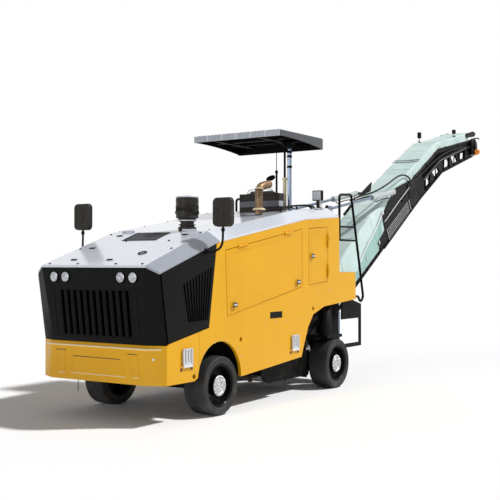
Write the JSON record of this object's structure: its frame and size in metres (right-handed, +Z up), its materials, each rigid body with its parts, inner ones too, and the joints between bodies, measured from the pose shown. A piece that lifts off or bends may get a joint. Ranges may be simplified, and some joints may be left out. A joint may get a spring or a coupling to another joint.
{
  "type": "cold planer milling machine",
  "caption": "Small wheeled cold planer: yellow body, pale sloping hood, black louvred front, milling drum between the axles, canopy on posts and a fabric-covered rear conveyor.",
  "frame": {"origin": "on the ground, midway between the nose and the conveyor's end and between the two sides", "axes": "+X forward, +Y to the machine's left, +Z up"},
  "size_m": [10.8059, 2.31, 4.3015],
  "materials": {
    "yellow_paint": "gloss",
    "pale_paint": "satin",
    "black_paint": "satin",
    "frame_paint": "matt",
    "tyre_rubber": "matt",
    "rim_paint": "satin",
    "bare_steel": "brushed",
    "rod_chrome": "polished",
    "drum_steel": "worn",
    "lamp_glass": "clear",
    "mirror_glass": "polished",
    "belt_rubber": "matt",
    "cover_fabric": "coated",
    "seat_vinyl": "grained",
    "console_plastic": "moulded",
    "light_plastic": "moulded",
    "exhaust_steel": "heat stained",
    "step_paint": "gloss",
    "rusty_steel": "rusty",
    "hose_rubber": "matt",
    "orange_paint": "satin",
    "cylinder_paint": "satin"
  },
  "bodies": {
    "chassis": {"chassis_frame": "frame_paint", "engine_block": "frame_paint", "cooler": "frame_paint", "front_axle": "frame_paint", "rear_legs": "frame_paint", "drum_housing": "frame_paint", "drum_guards": "frame_paint", "transfer_chute": "frame_paint", "bumper": "yellow_paint", "side_panels": "yellow_paint", "top_deck": "pale_paint", "front_grille": "black_paint", "lamps": "lamp_glass", "louvre_panels": "black_paint", "operator_platform": "frame_paint", "console": "console_plastic", "seat": "seat_vinyl", "control_panel": "console_plastic", "air_precleaner": "black_paint", "exhaust_pipe": "exhaust_steel", "mirrors": "console_plastic", "handrails": "black_paint"},
    "hood": {"hood": "pale_paint"},
    "canopy": {"canopy": "pale_paint"},
    "drum": {"milling_drum": "drum_steel"},
    "conveyor_carrier": {"conveyor_carrier": "frame_paint"},
    "conveyor": {"conveyor_frame": "black_paint", "conveyor_belt": "belt_rubber", "conveyor_rollers": "bare_steel", "conveyor_cover": "cover_fabric"},
    "lift_barrels": {"lift_cylinder_barrels": "cylinder_paint"},
    "lift_rods": {"lift_cylinder_rods": "rod_chrome"},
    "knuckle_left": {"knuckle_left": "frame_paint"},
    "wheel_front_left": {"tyre_front_left": "tyre_rubber", "rim_front_left": "rim_paint"},
    "wheel_rear_left": {"tyre_rear_left": "tyre_rubber", "rim_rear_left": "rim_paint"},
    "engine_door_left": {"engine_door_left": "yellow_paint"},
    "tank_door_left": {"tank_door_left": "yellow_paint"},
    "step_front_left": {"step_front_left": "step_paint"},
    "step_rear_left": {"step_rear_left": "step_paint"},
    "knuckle_right": {"knuckle_right": "frame_paint"},
    "wheel_front_right": {"tyre_front_right": "tyre_rubber", "rim_front_right": "rim_paint"},
    "wheel_rear_right": {"tyre_rear_right": "tyre_rubber", "rim_rear_right": "rim_paint"},
    "engine_door_right": {"engine_door_right": "yellow_paint"},
    "tank_door_right": {"tank_door_right": "yellow_paint"},
    "step_front_right": {"step_front_right": "step_paint"},
    "step_rear_right": {"step_rear_right": "step_paint"}
  },
  "joints": [
    {"name": "steer_left", "type": "hinge", "parent": "chassis", "child": "knuckle_left", "pos_m": [4.25697, 0.46, 0.33], "axis": [0, 0, 1], "range_deg": [-30, 30]},
    {"name": "wheel_front_left_spin", "type": "hinge", "parent": "knuckle_left", "child": "wheel_front_left", "pos_m": [4.25697, 0.734, 0.33], "axis": [0, 1, 0], "continuous": true},
    {"name": "wheel_rear_left_spin", "type": "hinge", "parent": "chassis", "child": "wheel_rear_left", "pos_m": [1.51697, 0.734, 0.33], "axis": [0, 1, 0], "continuous": true},
    {"name": "engine_door_left_hinge", "type": "hinge", "parent": "chassis", "child": "engine_door_left", "pos_m": [4.17397, 0.8823, 1.83272], "axis": [0.9861, 0, -0.1662], "range_deg": [0, 80]},
    {"name": "tank_door_left_hinge", "type": "hinge", "parent": "chassis", "child": "tank_door_left", "pos_m": [1.80397, 0.8823, 1.445], "axis": [0.0055, 0, 1], "range_deg": [0, 100]},
    {"name": "step_front_left_hinge", "type": "hinge", "parent": "chassis", "child": "step_front_left", "pos_m": [4.88697, 0.886, 0.605], "axis": [-1, 0, 0], "range_deg": [0, 90]},
    {"name": "step_rear_left_hinge", "type": "hinge", "parent": "chassis", "child": "step_rear_left", "pos_m": [2.66697, 0.886, 0.605], "axis": [-1, 0, 0], "range_deg": [0, 90]},
    {"name": "steer_right", "type": "hinge", "parent": "chassis", "child": "knuckle_right", "pos_m": [4.25697, -0.46, 0.33], "axis": [0, 0, 1], "range_deg": [-30, 30]},
    {"name": "wheel_front_right_spin", "type": "hinge", "parent": "knuckle_right", "child": "wheel_front_right", "pos_m": [4.25697, -0.734, 0.33], "axis": [0, 1, 0], "continuous": true},
    {"name": "wheel_rear_right_spin", "type": "hinge", "parent": "chassis", "child": "wheel_rear_right", "pos_m": [1.51697, -0.734, 0.33], "axis": [0, 1, 0], "continuous": true},
    {"name": "engine_door_right_hinge", "type": "hinge", "parent": "chassis", "child": "engine_door_right", "pos_m": [4.17397, -0.8823, 1.83272], "axis": [-0.9861, 0, 0.1662], "range_deg": [0, 80]},
    {"name": "tank_door_right_hinge", "type": "hinge", "parent": "chassis", "child": "tank_door_right", "pos_m": [1.80397, -0.8823, 1.445], "axis": [-0.0055, 0, -1], "range_deg": [0, 100]},
    {"name": "step_front_right_hinge", "type": "hinge", "parent": "chassis", "child": "step_front_right", "pos_m": [4.88697, -0.886, 0.605], "axis": [1, 0, 0], "range_deg": [0, 90]},
    {"name": "step_rear_right_hinge", "type": "hinge", "parent": "chassis", "child": "step_rear_right", "pos_m": [2.66697, -0.886, 0.605], "axis": [1, 0, 0], "range_deg": [0, 90]},
    {"name": "hood_hinge", "type": "hinge", "parent": "chassis", "child": "hood", "pos_m": [4.29097, 0, 2.062], "axis": [0, -1, 0], "range_deg": [0, 40]},
    {"name": "drum_spin", "type": "hinge", "parent": "chassis", "child": "drum", "pos_m": [2.35697, 0, 0.6], "axis": [0, 1, 0], "continuous": true},
    {"name": "canopy_slide", "type": "slide", "parent": "chassis", "child": "canopy", "axis": [0, 0, -1], "range_m": [0, 0.4]},
    {"name": "conveyor_slew", "type": "hinge", "parent": "chassis", "child": "conveyor_carrier", "pos_m": [0.90697, 0, 0.355], "axis": [0, 0, 1], "range_deg": [-30, 30]},
    {"name": "conveyor_tilt", "type": "hinge", "parent": "conveyor_carrier", "child": "conveyor", "pos_m": [0.90697, 0, 0.741], "axis": [0, 1, 0], "range_deg": [-10, 10]},
    {"name": "lift_barrel_swing", "type": "hinge", "parent": "conveyor", "child": "lift_barrels", "pos_m": [-1.44303, 0, 2.86], "axis": [0, 1, 0], "range_deg": [-4, 4]},
    {"name": "lift_rod_slide", "type": "slide", "parent": "lift_barrels", "child": "lift_rods", "axis": [0.985, 0, -0.1724], "range_m": [-0.32, 0.32]}
  ],
  "couplings": [
    {"joint": "steer_right", "follows": "steer_left", "ratio": 1},
    {"joint": "lift_barrel_swing", "follows": "conveyor_tilt", "ratio": 0.2103},
    {"joint": "lift_rod_slide", "follows": "conveyor_tilt", "m_per_rad": -1.6674}
  ]
}
